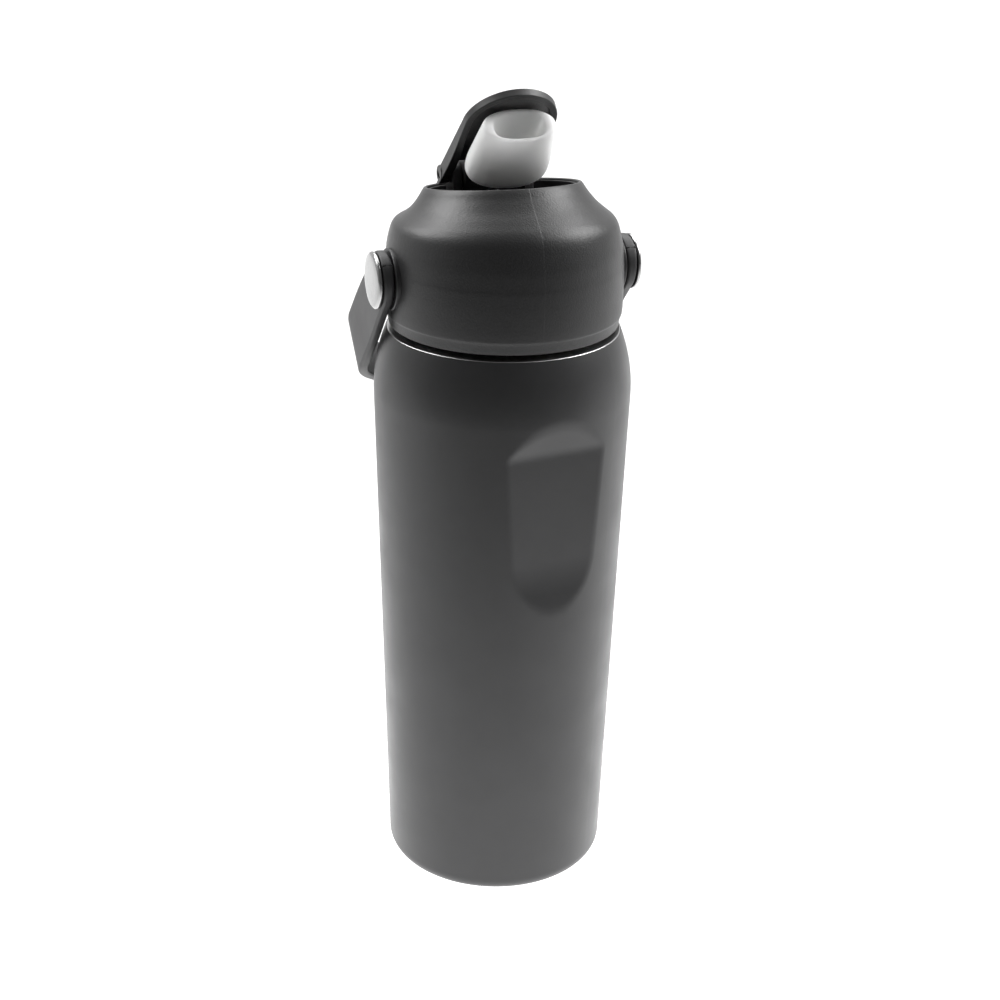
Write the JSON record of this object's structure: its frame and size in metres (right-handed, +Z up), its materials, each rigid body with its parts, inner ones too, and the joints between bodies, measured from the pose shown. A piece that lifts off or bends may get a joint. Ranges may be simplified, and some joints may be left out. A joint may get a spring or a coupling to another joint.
{
  "type": "vacuum flask",
  "caption": "Double-walled steel drinking flask with a screw lid, a flip-up hood over a silicone spout, a straw and a swinging carry loop.",
  "frame": {"origin": "centre of the face it stands on", "axes": "+Z up along the body's axis, -Y the side one drinks from, X along the spout's hinge and the carry loop's pivots, +X to the drinker's left"},
  "size_m": [0.0762, 0.0852, 0.2327],
  "materials": {
    "body_coating": "matte charcoal powder coat with a very fine texture",
    "steel": "satin stainless steel",
    "chrome": "polished chrome",
    "lid_plastic": "black moulded plastic with a fine spark-eroded grain",
    "loop_plastic": "black flexible plastic, satin",
    "milky_silicone": "translucent milky white silicone, satin",
    "seal_silicone": "pale grey silicone, matte",
    "straw_plastic": "clear frosted plastic",
    "foot_rubber": "black rubber, matte",
    "getter_metal": "dull grey sintered metal",
    "plug_resin": "dark sealing resin"
  },
  "bodies": {
    "bottle": {"outer_shell": "body_coating", "inner_vessel": "steel", "base_plate": "steel", "vacuum_plug": "plug_resin", "getter": "getter_metal", "foot_pad": "foot_rubber"},
    "seal": {"lid_gasket": "seal_silicone"},
    "lid": {"lid_collar": "lid_plastic", "lid_liner": "lid_plastic", "port_seal": "seal_silicone", "vent_valve": "seal_silicone", "straw": "straw_plastic", "pivot_screw_left": "steel", "pivot_screw_right": "steel", "pivot_cap_left": "chrome", "pivot_cap_right": "chrome", "spacer_ring_left": "lid_plastic", "spacer_ring_right": "lid_plastic"},
    "spout": {"spout_hood": "lid_plastic", "spout_tube": "lid_plastic", "mouthpiece": "milky_silicone", "hinge_pin_left": "steel", "hinge_pin_right": "steel"},
    "handle": {"carry_loop": "loop_plastic"}
  },
  "joints": [
    {"name": "lid_lift", "type": "slide", "parent": "bottle", "child": "seal", "axis": [0, 0, 1], "range_m": [0, 0.185]},
    {"name": "lid_turn", "type": "hinge", "parent": "seal", "child": "lid", "pos_m": [0, 0, 0.18], "axis": [0, 0, 1], "range_deg": [0, 450]},
    {"name": "spout_flip", "type": "hinge", "parent": "lid", "child": "spout", "pos_m": [0, 0.01448, 0.20558], "axis": [1, 0, 0], "range_deg": [0, 36]},
    {"name": "handle_swing", "type": "hinge", "parent": "lid", "child": "handle", "pos_m": [0, 0, 0.1813], "axis": [1, 0, 0], "range_deg": [0, 268]}
  ]
}
